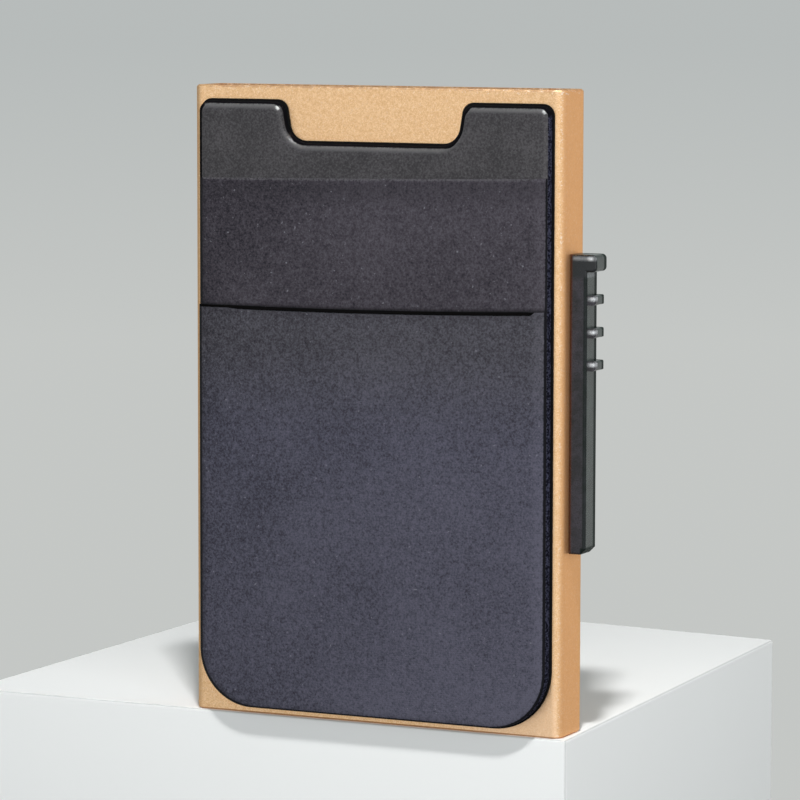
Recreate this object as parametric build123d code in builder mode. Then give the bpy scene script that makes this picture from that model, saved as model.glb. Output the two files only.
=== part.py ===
from build123d import *
import os

# A slim metal card case that stands on its closed end. A flat tube holds the cards, a lever on
# its narrow side lifts them in steps, and a cloth pouch with two pockets is stuck on its front.
# The origin is the middle of the bottom face. X runs across the case towards the lever, Y runs
# from the front to the back, and Z runs up. Lengths are in millimetres.

# Cards that the case is sized for
card_width = 53.98
card_height = 85.6
card_count = 6
card_pitch = 1.1
card_side_play = 0.5

# Tube: walls, edges and the inner ribs that divide the card bay from the lever's channel
face_wall = 0.9
side_wall = 1.3
case_edge_radius = 1.6
cavity_edge_radius = 0.4
rim_chamfer = 0.3
guide_rib_thickness = 0.8
guide_rib_height = 0.9
channel_width = 4.42
mouth_margin = 1.2

# Plug that closes the bottom end
plug_thickness = 3.0
plug_floor = 1.2
plug_play = 0.1
plug_wall = 1.5
plug_lead = 0.3
plug_pocket_count = 4
crush_rib_count = 3
crush_rib_width = 1.0
crush_rib_pitch = 21.0

# Card carrier: a stair of treads on a column that slides in the channel
carrier_play = 0.3
carrier_lift = 0.3
tread_thickness = 1.4
step_rise = 1.7
carrier_skin = 0.9
stair_pocket_count = 5
column_play = 0.25
column_lead = 15.0
column_wall = 1.2
core_depth = 3.0
core_margin = 1.5
column_chamfer = 0.8
web_setback = 0.25

# Thumb lever, its neck through the slot and its two snap pegs
lever_travel = 24.0
lever_height = 28.6
lever_width = 4.3
lever_thickness = 2.8
lever_gap = 0.15
lever_edge_radius = 0.35
lever_foot_chamfer = 0.9
neck_length = 16.0
slot_width = 2.4
slot_play = 0.2
slot_cover = 2.95
peg_length = 4.0
peg_depth = 2.6
peg_play = 0.05
peg_margin = 1.2
hook_reach = 1.6
hook_thickness = 2.65
hook_radius = 0.7
grip_count = 3
grip_pitch = 5.05
grip_drop = 7.0
grip_reach = 1.3
grip_thickness = 1.5
grip_width = 3.9
grip_radius = 0.4

# Brake leaf that holds the lever where it is left, and its recess in the column
brake_thickness = 0.2
brake_width = 2.6
brake_length = 12.0
brake_recess_depth = 0.8
brake_recess_play = 0.3
brake_wall_gap = 0.05

# Side liner, and the bowed leaf in it that keeps the cards from slipping
liner_thickness = 1.4
liner_play = 0.5
liner_drop = 3.0
leaf_recess_depth = 1.0
leaf_recess_play = 0.3
leaf_keeper_thickness = 0.4
leaf_keeper_reach = 1.6
leaf_thickness = 0.2
leaf_width = 4.0
leaf_span = 30.0
leaf_reach = 0.6
leaf_drop = 24.0

# Felt strips inside the mouth
felt_length = 40.0
felt_height = 8.0
felt_thickness = 0.5
felt_drop = 4.0

# Pouch on the front: adhesive film, foam board and two cloth pockets
pouch_width = 60.7
pouch_height = 97.0
pouch_bottom = 0.9
pouch_shift = 0.05
pouch_corner_radius = 9.7
tab_radius = 1.9
notch_top_width = 30.5
notch_floor_width = 28.4
notch_depth = 6.4
notch_radius = 2.8
adhesive_thickness = 0.3
board_thickness = 1.4
board_inset = 0.25
board_edge_radius = 0.5
pocket_inset = 0.45
pocket_cloth = 0.3
pocket_gap = 0.05
weld_width = 1.7
rear_mouth_height = 86.0
rear_mouth_rise = 1.15
rear_mouth_sag = 0.1
front_mouth_height = 65.8
front_mouth_rise = 0.85
front_mouth_sag = 0.35

# Overrun of every cut past the face that it opens
overrun = 1.0

# Case sizes that follow from the cards and the walls
cavity_depth = card_count * card_pitch + 2 * carrier_play
bay_width = card_width + card_side_play
cavity_width = liner_thickness + bay_width + guide_rib_thickness + channel_width
case_width = cavity_width + 2 * side_wall
case_depth = cavity_depth + 2 * face_wall
carrier_bottom = plug_thickness + carrier_lift
stair_height = tread_thickness + (card_count - 1) * step_rise
case_height = carrier_bottom + stair_height + card_height + mouth_margin

# Places across the case
inner_right = cavity_width / 2
bay_left = liner_thickness - inner_right
bay_right = bay_left + bay_width
channel_left = bay_right + guide_rib_thickness
guide_rib_x = bay_right + guide_rib_thickness / 2
guide_rib_y = (cavity_depth - guide_rib_height) / 2

# Places up the case: the lever covers its slot from end to end while it is down
slot_length = neck_length + lever_travel + 2 * slot_play
slot_middle = lever_height + slot_cover + slot_length / 2
lever_length = slot_length + 2 * slot_cover
lever_top = lever_height + lever_length
neck_bottom = lever_height + slot_cover + slot_play
neck_top = neck_bottom + neck_length
neck_middle = neck_bottom + neck_length / 2
peg_width = slot_width - 2 * slot_play
peg_places = [neck_bottom + peg_margin + peg_length / 2, neck_top - peg_margin - peg_length / 2]


def write(piece, name):
    """Labels a finished piece and writes its STEP file."""
    piece.part.label = name
    export_step(piece.part, f"parts/{name}.step")


def stair_outline(first, last, bottom, inset):
    """Corners of the stair's treads from one to another, seen along X, with a straight back."""
    corners = [(first * card_pitch - stair_width / 2 + inset, bottom)]
    for step in range(first, last + 1):
        level = carrier_bottom + tread_thickness + step * step_rise - inset
        front = step * card_pitch - stair_width / 2 + inset
        back = min(front + card_pitch, stair_width / 2 - inset)
        corners += [(front, level), (back, level)]
    corners.append((stair_width / 2 - inset, bottom))
    return corners


os.makedirs("parts", exist_ok=True)

# Tube of the case, with its ribs, the lever's slot and bevelled ends
with BuildPart() as case_tube:
    with BuildSketch():
        RectangleRounded(case_width, case_depth, case_edge_radius)
        RectangleRounded(cavity_width, cavity_depth, cavity_edge_radius, mode=Mode.SUBTRACT)
        with Locations((guide_rib_x, -guide_rib_y), (guide_rib_x, guide_rib_y)):
            Rectangle(guide_rib_thickness, guide_rib_height)
    extrude(amount=case_height)
    end_faces = case_tube.faces().filter_by(Axis.Z).sort_by(Axis.Z)
    chamfer(end_faces[0].outer_wire().edges() + end_faces[-1].outer_wire().edges(), rim_chamfer)
    with BuildSketch(Plane.YZ.offset(inner_right - overrun)):
        with Locations((0, slot_middle)):
            SlotOverall(slot_length, slot_width, rotation=90)
    extrude(amount=side_wall + 2 * overrun, mode=Mode.SUBTRACT)
write(case_tube, "case_tube")

# Plug in the bottom end, hollowed from above, with crush ribs on its long sides
plug_length = cavity_width - 2 * plug_play
plug_depth = cavity_depth - 2 * plug_play
plug_pocket_pitch = (plug_length - plug_wall) / plug_pocket_count
plug_pocket_width = plug_depth - 2 * (guide_rib_height + plug_wall)
with BuildPart() as bottom_plug:
    with BuildSketch():
        RectangleRounded(plug_length, plug_depth, cavity_edge_radius)
        with Locations((guide_rib_x, -guide_rib_y), (guide_rib_x, guide_rib_y)):
            Rectangle(
                guide_rib_thickness + 2 * plug_play,
                guide_rib_height + 2 * plug_play,
                mode=Mode.SUBTRACT,
            )
    extrude(amount=plug_thickness)
    chamfer(bottom_plug.faces().sort_by(Axis.Z)[-1].outer_wire().edges(), plug_lead)
    with BuildSketch(Plane.XY.offset(plug_floor)):
        with GridLocations(plug_pocket_pitch, 0, plug_pocket_count, 1):
            Rectangle(plug_pocket_pitch - plug_wall, plug_pocket_width)
    extrude(amount=plug_thickness, mode=Mode.SUBTRACT)
    with BuildSketch():
        with GridLocations(crush_rib_pitch, plug_depth + plug_play - plug_wall, crush_rib_count, 2):
            Rectangle(crush_rib_width, plug_wall + plug_play)
    extrude(amount=plug_floor)
write(bottom_plug, "bottom_plug")

# Card carrier: stair, foot, web and column in one moulding
stair_width = card_count * card_pitch
stair_left = bay_left + carrier_play
stair_right = bay_right - carrier_play
column_left = channel_left + column_play
column_right = inner_right - column_play
column_middle = (column_left + column_right) / 2
column_depth = cavity_depth - 2 * column_play
column_top = neck_top + column_lead
web_left = bay_right + web_setback
web_depth = cavity_depth - 2 * (guide_rib_height + column_play)
stair_pocket_pitch = (stair_right - stair_left - carrier_skin) / stair_pocket_count
pocket_planes = [
    Plane.YZ.offset(stair_left + carrier_skin + place * stair_pocket_pitch)
    for place in range(stair_pocket_count)
]
lower_core_length = neck_bottom - carrier_bottom - 2 * core_margin
upper_core_length = column_top - neck_top - 2 * core_margin
with BuildPart() as card_carrier:
    with BuildSketch(Plane.YZ.offset(stair_left)):
        with BuildLine():
            Polyline(*stair_outline(0, card_count - 1, carrier_bottom, 0), close=True)
        make_face()
    extrude(amount=stair_right - stair_left)
    with BuildSketch(Plane.XY.offset(carrier_bottom)):
        with Locations((column_middle, 0)):
            Rectangle(column_right - column_left, column_depth)
        with Locations(((web_left + column_left) / 2, 0)):
            Rectangle(column_left - web_left, web_depth)
    extrude(amount=column_top - carrier_bottom)
    with BuildSketch(Plane.XY.offset(carrier_bottom)):
        with Locations(((stair_right + web_left) / 2, 0)):
            Rectangle(web_left - stair_right, web_depth)
    extrude(amount=stair_height)
    top_edges = card_carrier.faces().filter_by(Axis.Z).sort_by(Axis.Z)[-1].edges()
    chamfer(top_edges.filter_by(Axis.X).group_by(Axis.Y)[0], column_chamfer)
    chamfer(card_carrier.edges().filter_by(Axis.X).group_by(Axis.Z)[-1].sort_by(Axis.Y)[-1], column_chamfer)
    with BuildSketch(*pocket_planes):
        with BuildLine():
            Polyline(*stair_outline(1, card_count - 2, carrier_bottom - overrun, carrier_skin), close=True)
        make_face()
    extrude(amount=stair_pocket_pitch - carrier_skin, mode=Mode.SUBTRACT)
    with BuildSketch(Plane.YZ.offset(column_right)):
        with Locations((0, carrier_bottom + core_margin + lower_core_length / 2)):
            Rectangle(column_depth - 2 * column_wall, lower_core_length)
        with Locations((0, neck_top + core_margin + upper_core_length / 2)):
            Rectangle(column_depth - 2 * column_wall, upper_core_length)
    extrude(amount=-core_depth, mode=Mode.SUBTRACT)
    with BuildSketch(Plane.YZ.offset(column_right)):
        with Locations(*((0, place) for place in peg_places)):
            Rectangle(peg_width + 2 * peg_play, peg_length + 2 * peg_play)
    extrude(amount=-(peg_depth + peg_play), mode=Mode.SUBTRACT)
    with BuildSketch(Plane.XZ.offset(-column_depth / 2)):
        with Locations((column_middle, neck_middle)):
            Rectangle(brake_width + 2 * brake_recess_play, brake_length + 2 * brake_recess_play)
    extrude(amount=brake_recess_depth, mode=Mode.SUBTRACT)
write(card_carrier, "card_carrier")

# Bowed brake leaf: its ends rest in the recess and its middle nearly touches the back wall
brake_floor = column_depth / 2 - brake_recess_depth
brake_crest = cavity_depth / 2 - brake_wall_gap
with BuildPart() as brake_leaf:
    with BuildSketch(Plane.YZ.offset(column_middle - brake_width / 2)):
        with BuildLine():
            inner_bow = ThreePointArc(
                (brake_floor, neck_middle - brake_length / 2),
                (brake_crest - brake_thickness, neck_middle),
                (brake_floor, neck_middle + brake_length / 2),
            )
            outer_bow = ThreePointArc(
                (brake_floor + brake_thickness, neck_middle - brake_length / 2),
                (brake_crest, neck_middle),
                (brake_floor + brake_thickness, neck_middle + brake_length / 2),
            )
            Line(inner_bow @ 0, outer_bow @ 0)
            Line(inner_bow @ 1, outer_bow @ 1)
        make_face()
    extrude(amount=brake_width)
write(brake_leaf, "brake_leaf")

# Thumb lever: bar, hook and grips outside, neck through the slot, pegs in the column
lever_inner = case_width / 2 + lever_gap
lever_outer = lever_inner + lever_thickness
with BuildPart() as thumb_lever:
    with BuildSketch(Plane.XZ.offset(-lever_width / 2)):
        with Locations((lever_inner, lever_height)):
            Rectangle(lever_thickness, lever_length, align=(Align.MIN, Align.MIN))
        with Locations((lever_inner, lever_top)):
            Rectangle(lever_thickness + hook_reach, hook_thickness, align=(Align.MIN, Align.MAX))
    extrude(amount=lever_width)
    fillet(thumb_lever.edges().filter_by(Axis.Y).group_by(Axis.X)[-1], hook_radius)
    foot_edge = thumb_lever.edges().filter_by(Axis.Y).group_by(Axis.Z)[0].sort_by(Axis.X)[-1]
    chamfer(foot_edge, lever_foot_chamfer)
    fillet(thumb_lever.faces().filter_by(Axis.Y).edges(), lever_edge_radius)
    with BuildSketch(Plane.YZ.offset(lever_outer - grip_radius)):
        with Locations(*((0, lever_top - grip_drop - grip * grip_pitch) for grip in range(grip_count))):
            Rectangle(grip_width, grip_thickness)
    extrude(amount=grip_reach + grip_radius)
    grip_ends = [
        face
        for face in thumb_lever.faces().filter_by(Axis.X)
        if lever_outer < face.center().X < lever_outer + hook_reach - grip_radius / 2
    ]
    fillet([edge for face in grip_ends for edge in face.edges()], grip_radius)
    with BuildSketch(Plane.YZ.offset(lever_inner)):
        with Locations((0, neck_middle)):
            SlotOverall(neck_length, peg_width, rotation=90)
    extrude(amount=column_right - lever_inner)
    with BuildSketch(Plane.YZ.offset(column_right)):
        with Locations(*((0, place) for place in peg_places)):
            Rectangle(peg_width, peg_length)
    extrude(amount=-peg_depth)
write(thumb_lever, "thumb_lever")

# Side liner: a strip on the inner wall across from the lever, with a recess for the leaf
liner_top = case_height - liner_drop
leaf_middle = case_height - leaf_drop - leaf_span / 2
leaf_recess_length = leaf_span + 2 * leaf_recess_play
leaf_recess_width = leaf_width + 2 * leaf_recess_play
with BuildPart() as side_liner:
    with BuildSketch(Plane.YZ.offset(-inner_right)):
        with Locations((0, (plug_thickness + liner_top) / 2)):
            Rectangle(cavity_depth - 2 * liner_play, liner_top - plug_thickness)
    extrude(amount=liner_thickness)
    with BuildSketch(Plane.YZ.offset(bay_left)):
        with Locations((0, leaf_middle)):
            Rectangle(leaf_recess_width, leaf_recess_length)
    extrude(amount=-leaf_recess_depth, mode=Mode.SUBTRACT)
    with BuildSketch(Plane.YZ.offset(bay_left)):
        with GridLocations(0, leaf_recess_length - leaf_keeper_reach, 1, 2):
            with Locations((0, leaf_middle)):
                Rectangle(leaf_recess_width, leaf_keeper_reach)
    extrude(amount=-leaf_keeper_thickness)
write(side_liner, "side_liner")

# Bowed card leaf: its ends lie under the keepers and its middle presses on the cards
leaf_floor = bay_left - leaf_recess_depth
leaf_crest = bay_left + leaf_reach
with BuildPart() as card_leaf:
    with BuildSketch(Plane.XZ.offset(-leaf_width / 2)):
        with BuildLine():
            wall_bow = ThreePointArc(
                (leaf_floor, leaf_middle - leaf_span / 2),
                (leaf_crest - leaf_thickness, leaf_middle),
                (leaf_floor, leaf_middle + leaf_span / 2),
            )
            card_bow = ThreePointArc(
                (leaf_floor + leaf_thickness, leaf_middle - leaf_span / 2),
                (leaf_crest, leaf_middle),
                (leaf_floor + leaf_thickness, leaf_middle + leaf_span / 2),
            )
            Line(wall_bow @ 0, card_bow @ 0)
            Line(wall_bow @ 1, card_bow @ 1)
        make_face()
    extrude(amount=leaf_width)
write(card_leaf, "card_leaf")

# Felt strips on the front and the back wall, just inside the mouth
felt_middle = case_height - felt_drop - felt_height / 2
for name, felt_plane in [
    ("felt_front", Plane.XZ.offset(cavity_depth / 2 - felt_thickness)),
    ("felt_back", Plane.XZ.offset(-cavity_depth / 2)),
]:
    with BuildPart() as felt_strip:
        with BuildSketch(felt_plane):
            with Locations(((bay_left + bay_right) / 2, felt_middle)):
                RectangleRounded(felt_length, felt_height, felt_thickness)
        extrude(amount=felt_thickness)
    write(felt_strip, name)


def board_outline(outline, inset):
    """Outline of the pouch's layers: rounded below, with a notch between two tabs above."""
    with Locations((pouch_shift, pouch_bottom + pouch_height / 2)):
        Rectangle(pouch_width - 2 * inset, pouch_height - 2 * inset)
    half_top = notch_top_width / 2 + inset
    half_floor = notch_floor_width / 2 + inset
    floor_height = pouch_bottom + pouch_height - notch_depth - inset
    above = floor_height + notch_depth
    Polygon(
        (pouch_shift - half_top, above),
        (pouch_shift - half_floor, floor_height),
        (pouch_shift + half_floor, floor_height),
        (pouch_shift + half_top, above),
        align=None,
        mode=Mode.SUBTRACT,
    )
    fillet(outline.vertices().group_by(Axis.Y)[-1], tab_radius - inset)
    fillet(outline.vertices().group_by(Axis.Y)[1], notch_radius + inset)
    fillet(outline.vertices().group_by(Axis.Y)[0], pouch_corner_radius - inset)


# Adhesive film between the case and the pouch, a little wider than the board on it
board_plane = Plane.XZ.offset(case_depth / 2 + adhesive_thickness)
with BuildPart() as adhesive_film:
    with BuildSketch(board_plane) as film_outline:
        board_outline(film_outline, 0)
    extrude(amount=-adhesive_thickness)
write(adhesive_film, "adhesive_film")

# Foam board that carries the pockets, with a rounded front edge
with BuildPart() as pouch_board:
    with BuildSketch(board_plane) as back_outline:
        board_outline(back_outline, board_inset)
    extrude(amount=board_thickness)
    fillet(pouch_board.faces().sort_by(Axis.Y)[0].edges(), board_edge_radius)
write(pouch_board, "pouch_board")

# Two cloth pockets, one over the other, each joined along its sides and bottom
pocket_width = pouch_width - 2 * pocket_inset
pocket_bottom = pouch_bottom + pocket_inset
pocket_thickness = pocket_cloth + pocket_gap
for layer, (name, mouth_height, mouth_rise, mouth_sag) in enumerate([
    ("rear_pocket", rear_mouth_height, rear_mouth_rise, rear_mouth_sag),
    ("front_pocket", front_mouth_height, front_mouth_rise, front_mouth_sag),
]):
    pocket_plane = board_plane.offset(board_thickness + layer * pocket_thickness)
    left, right = pouch_shift - pocket_width / 2, pouch_shift + pocket_width / 2
    with BuildPart() as pocket:
        with BuildSketch(pocket_plane) as cloth_outline:
            with BuildLine():
                mouth = ThreePointArc(
                    (left, mouth_height - mouth_rise / 2),
                    (pouch_shift, mouth_height - mouth_sag),
                    (right, mouth_height + mouth_rise / 2),
                )
                Polyline(mouth @ 1, (right, pocket_bottom), (left, pocket_bottom), mouth @ 0)
            make_face()
            corners = cloth_outline.vertices().group_by(Axis.Y)[0]
            fillet(corners, pouch_corner_radius - pocket_inset)
        extrude(amount=pocket_thickness)
        with BuildSketch(pocket_plane) as hollow_outline:
            with Locations((pouch_shift, pocket_bottom + weld_width)):
                Rectangle(
                    pocket_width - 2 * weld_width,
                    mouth_height,
                    align=(Align.CENTER, Align.MIN),
                )
            corners = hollow_outline.vertices().group_by(Axis.Y)[0]
            fillet(corners, pouch_corner_radius - pocket_inset - weld_width)
        extrude(amount=pocket_gap, mode=Mode.SUBTRACT)
    write(pocket, name)
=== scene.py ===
# %% [markdown]
# # A card case with a side lever and a cloth pouch
#
# The finished object is a flat metal tube that stands on its closed end, holds six cards and
# lifts them in steps with a thumb lever on its narrow side. A cloth pouch with two pockets is
# stuck on its front. The hard pieces are already modelled to size and are only given finishes
# here. The soft pieces are modelled again in this file, because foam and cloth have rolled
# edges, slack and nap that a plain solid doesn't show.

# %% Load the measured model
import bmesh
import bpy
import math
from mathutils import Matrix, Vector


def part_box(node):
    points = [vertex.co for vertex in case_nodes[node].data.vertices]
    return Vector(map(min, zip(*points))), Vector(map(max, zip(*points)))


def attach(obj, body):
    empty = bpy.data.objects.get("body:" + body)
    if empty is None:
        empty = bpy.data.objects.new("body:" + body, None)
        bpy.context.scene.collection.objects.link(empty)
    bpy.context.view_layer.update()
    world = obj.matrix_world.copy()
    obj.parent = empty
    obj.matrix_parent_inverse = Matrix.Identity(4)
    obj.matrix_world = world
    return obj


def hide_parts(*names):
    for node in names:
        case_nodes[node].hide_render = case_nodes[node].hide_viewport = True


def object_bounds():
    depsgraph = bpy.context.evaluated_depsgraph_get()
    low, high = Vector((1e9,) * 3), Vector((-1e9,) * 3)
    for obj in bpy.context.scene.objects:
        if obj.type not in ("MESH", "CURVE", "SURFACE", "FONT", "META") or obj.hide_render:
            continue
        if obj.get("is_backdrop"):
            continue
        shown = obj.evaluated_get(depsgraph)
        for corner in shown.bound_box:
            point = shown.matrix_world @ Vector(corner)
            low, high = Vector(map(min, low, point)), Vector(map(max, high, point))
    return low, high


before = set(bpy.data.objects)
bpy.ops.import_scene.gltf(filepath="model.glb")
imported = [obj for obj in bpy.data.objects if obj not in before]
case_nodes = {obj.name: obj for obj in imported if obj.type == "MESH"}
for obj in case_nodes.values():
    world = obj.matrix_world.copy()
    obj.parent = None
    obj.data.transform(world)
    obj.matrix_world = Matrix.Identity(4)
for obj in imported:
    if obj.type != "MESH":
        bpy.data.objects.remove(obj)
cad_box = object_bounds()
MM = 0.001
print("model box in mm:", [[round(c / MM, 2) for c in corner] for corner in cad_box])

# %% [markdown]
# ## Camera
#
# A small product on a table is usually taken from a little above, with a long lens that keeps
# its upright edges upright. The camera stands about 0.65 m away, 25 degrees round to the
# lever's side, and looks down by 6 degrees. Its lens is set so that the case fills the picture.
# The direction is built from three turns, which is easier to check than a matrix of numbers.

# %% Place the camera
LENS_MM = 187.28
ROUND = math.radians(25.2)
DOWN = math.radians(6.028)
ROLL = math.radians(0.1085)
AWAY = 0.64999
AIM_X = 0.002292
EYE_HEIGHT = 0.119558

camera = bpy.data.objects.new("camera", bpy.data.cameras.new("camera"))
bpy.context.scene.collection.objects.link(camera)
camera.data.lens = LENS_MM
camera.data.sensor_width = 36
camera.data.clip_start = 0.05
camera.data.clip_end = 20
camera.matrix_world = (
    Matrix.Translation((AIM_X + math.sin(ROUND) * AWAY, -math.cos(ROUND) * AWAY, EYE_HEIGHT))
    @ Matrix.Rotation(ROUND, 4, "Z")
    @ Matrix.Rotation(math.pi / 2 - DOWN, 4, "X")
    @ Matrix.Rotation(ROLL, 4, "Z")
)
bpy.context.scene.camera = camera
print("camera at", [round(c, 4) for c in camera.location])

# %% [markdown]
# ## Light
#
# Satin metal shows whatever stands around it, so the room is large, pale and soft. Three cards,
# which only shiny surfaces see, are what the flat front, the rounded upright edge and the narrow
# side mirror. The main lamp is small and hangs half a metre above, in front and a little to the
# right: it draws glints on corners, and the shadows of the case and its pouch on the block. A
# wide lamp behind the camera, one at the side and one above light cloth and block without a
# shine, and a weak one behind lights the back. The room lights matt surfaces less than it shows
# itself, so that shadows keep their depth. The backdrop is a little paler below the horizon.

# %% Light the room
ROOM_LIGHT = (0.106, 0.124, 0.128, 1)
BACKDROP_HIGH = (0.475, 0.500, 0.495, 1)
BACKDROP_LOW = (0.555, 0.572, 0.558, 1)
FADE_STARTS, FADE_ENDS = -0.02, -0.09

world = bpy.data.worlds.new("room")
bpy.context.scene.world = world
world.use_nodes = True
tree = world.node_tree


def join(kind, settings, links, output=0):
    """Adds a node to the room's recipe, with links or values for its inputs.

    A colour Mix node has its share at input 0, its colours at 6 and 7, the result at output 2.
    """
    made = tree.nodes.new(kind)
    for key, value in settings.items():
        setattr(made, key, value)
    for key, value in links.items():
        if isinstance(value, bpy.types.NodeSocket):
            tree.links.new(value, made.inputs[key])
        else:
            made.inputs[key].default_value = value
    return made.outputs[output]


direction = join("ShaderNodeTexCoord", {}, {})
rise = join("ShaderNodeSeparateXYZ", {}, {0: direction}, 2)
lower = join(
    "ShaderNodeMapRange", {}, {"Value": rise, "From Min": FADE_STARTS, "From Max": FADE_ENDS}
)
backdrop = join(
    "ShaderNodeMix", {"data_type": "RGBA"}, {0: lower, 6: BACKDROP_HIGH, 7: BACKDROP_LOW}, 2
)
path = join("ShaderNodeLightPath", {}, {}).node
seen = join(
    "ShaderNodeMath",
    {"operation": "MAXIMUM"},
    {0: path.outputs["Is Camera Ray"], 1: path.outputs["Is Glossy Ray"]},
)
room = join("ShaderNodeMix", {"data_type": "RGBA"}, {0: seen, 6: ROOM_LIGHT, 7: backdrop}, 2)
tree.links.new(room, tree.nodes["Background"].inputs["Color"])
bpy.context.scene.view_settings.view_transform = "Standard"


def softbox(name, place, aim, width, height, power):
    """A rectangular light at one point that faces another."""
    light = bpy.data.lights.new(name, "AREA")
    light.shape = "RECTANGLE"
    light.size, light.size_y, light.energy = width, height, power
    lamp = bpy.data.objects.new(name, light)
    bpy.context.scene.collection.objects.link(lamp)
    lamp.location = place
    lamp.rotation_euler = (Vector(aim) - Vector(place)).to_track_quat("-Z", "Y").to_euler()
    return lamp


middle = (0, 0, 0.05)
cards = (
    softbox("front_card", (-0.42, -1.05, 0.25), middle, 1.3, 0.9, 2.15),
    softbox("edge_card", (0.46, -0.93, 0.02), middle, 0.8, 0.6, 1.25),
    softbox("side_card", (0.95, -0.50, 0.02), middle, 0.9, 0.6, 1.05),
)
for card in cards:
    card.visible_diffuse = False
softbox("main", (0.100, -0.215, 0.515), middle, 0.035, 0.035, 2.3)
fills = (
    softbox("wide", (1.29, -2.06, 0.600), middle, 2.2, 2.2, 43.0),
    softbox("side_fill", (0.85, 0.30, 0.25), middle, 0.8, 0.8, 2.2),
    softbox("above", (0.15, 0.30, 1.15), middle, 0.8, 0.8, 0.6),
)
for fill in fills:
    fill.visible_glossy = False
softbox("back_fill", (0.55, 1.10, 0.05), middle, 0.8, 0.8, 0.6)

# %% [markdown]
# ## Floor
#
# The case stands on something plain and pale: a white block, not quite square. Its front is
# parallel to the case's and 0.1 mm ahead of it, so that the pouch hangs over the edge and
# shades the block below. The block is a cube whose upright edges are moved to four measured
# corners. Its edges are rounded, and a stored number paints shade on them, so that they look
# no brighter than the faces: it is 0 on the flat faces and larger where the surface turns.

# %% Make the floor
BLOCK_DEPTH = 60.0
BLOCK_ROUNDING = 0.5
BLOCK_PAST_CASE = 1.0
BLOCK_AHEAD = 0.1
BLOCK_CORNERS = {
    "front right": (0.0, 0.0),
    "back right": (-4.3, 104.3),
    "back left": (-106.2, 114.8),
    "front left": (-106.7, 0.0),
}


def only(piece):
    """Makes one object the only selected and the active one."""
    bpy.ops.object.select_all(action="DESELECT")
    piece.select_set(True)
    bpy.context.view_layer.objects.active = piece


def settle(piece):
    """Moves an object's place, turn and size into its mesh."""
    only(piece)
    bpy.ops.object.transform_apply(location=True, rotation=True, scale=True)


def store(piece, name, values):
    """Keeps one number for each point of a piece."""
    piece.data.attributes.new(name, "FLOAT", "POINT").data.foreach_set("value", values)


low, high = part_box("case_tube")
corner = Vector((high.x + BLOCK_PAST_CASE * MM, low.y - BLOCK_AHEAD * MM, 0))
bpy.ops.mesh.primitive_cube_add(size=1, location=(0, 0, -0.5))
floor = bpy.context.object
floor.name = "floor"
settle(floor)
for point in floor.data.vertices:
    key = f"{'front' if point.co.y < 0 else 'back'} {'left' if point.co.x < 0 else 'right'}"
    across, along = BLOCK_CORNERS[key]
    point.co = corner + Vector((across, along, point.co.z * BLOCK_DEPTH)) * MM
rim = floor.modifiers.new("rim", "BEVEL")
rim.width, rim.segments = BLOCK_ROUNDING * MM, 8
bpy.ops.object.modifier_apply(modifier=rim.name)
bpy.ops.object.shade_smooth_by_angle(angle=math.radians(35))
normals = [v.normal for v in floor.data.vertices]
# Painted shade for the rounded edges: the more the surface turns there, the larger the number.
store(floor, "ridge", [1 - max(abs(c) for c in n) for n in normals])
floor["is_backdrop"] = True
print("floor points:", len(floor.data.vertices))

# %% [markdown]
# ## Shader maths
#
# A finish is a recipe in nodes. Long recipes are easier to read as plain maths, so one small
# class wraps an output socket: sums on it add Math nodes, and one method adds any other node.
# Every finish starts from the object's own coordinates in millimetres, so that a grain of
# 0.2 mm is written as 0.2 mm and stays in place when the object moves. Places on a piece are
# picked out with steps, which go smoothly from 0 to 1, and with bands, which come back to 0.

# %% Shader helpers
class Flow:
    """One output in a finish, which can be used in sums like a number."""

    def __init__(self, socket):
        self.socket = socket

    def node(self, kind, settings, inputs, output=0):
        """Adds any node: its settings first, then its sockets, and returns one output."""
        tree = self.socket.id_data
        made = tree.nodes.new(kind)
        for key, value in settings.items():
            setattr(made, key, value)
        for key, value in inputs.items():
            if isinstance(value, Flow):
                tree.links.new(value.socket, made.inputs[key])
            else:
                made.inputs[key].default_value = value
        return Flow(made.outputs[output])

    def maths(self, operation, first, second):
        """One Math node with two inputs."""
        return self.node("ShaderNodeMath", {"operation": operation}, {0: first, 1: second})

    def __add__(self, other):
        return self.maths("ADD", self, other)

    def __radd__(self, other):
        return self.maths("ADD", other, self)

    def __sub__(self, other):
        return self.maths("SUBTRACT", self, other)

    def __rsub__(self, other):
        return self.maths("SUBTRACT", other, self)

    def __mul__(self, other):
        return self.maths("MULTIPLY", self, other)

    def __rmul__(self, other):
        return self.maths("MULTIPLY", other, self)

    def most(self, other):
        """The larger of this value and another."""
        return self.maths("MAXIMUM", self, other)

    def step(self, zero, one):
        """0 up to the first value, 1 from the second on; it falls if the first is larger."""
        return self.node(
            "ShaderNodeMapRange",
            {"interpolation_type": "SMOOTHSTEP"},
            {"Value": self, "From Min": zero, "From Max": one, "To Min": 0.0, "To Max": 1.0},
        )

    def band(self, start, full, fading, end):
        """1 between the middle two of four values and 0 outside the outer two."""
        return self.step(start, full) * self.step(end, fading)

    def noise(self, grain, detail=2.0, roughness=0.5):
        """Cloudy noise on these coordinates, with clouds of about that size."""
        return self.node(
            "ShaderNodeTexNoise",
            {},
            {"Vector": self, "Scale": 1 / grain, "Detail": detail, "Roughness": roughness},
        )

    def stretch(self, x, y, z):
        """The same coordinates, scaled along each axis."""
        settings = {"operation": "MULTIPLY"}
        return self.node("ShaderNodeVectorMath", settings, {0: self, 1: (x, y, z)})

    def tint(self, low, high):
        """A colour between two others, by this value from 0 to 1."""
        return self.node("ShaderNodeMix", {"data_type": "RGBA"}, {0: self, 6: low, 7: high}, 2)

    def bump(self, height):
        """A surface that this value from 0 to 1 raises by that many millimetres."""
        inputs = {"Height": self, "Strength": 1.0, "Distance": height * MM}
        return self.node("ShaderNodeBump", {}, inputs)


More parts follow.
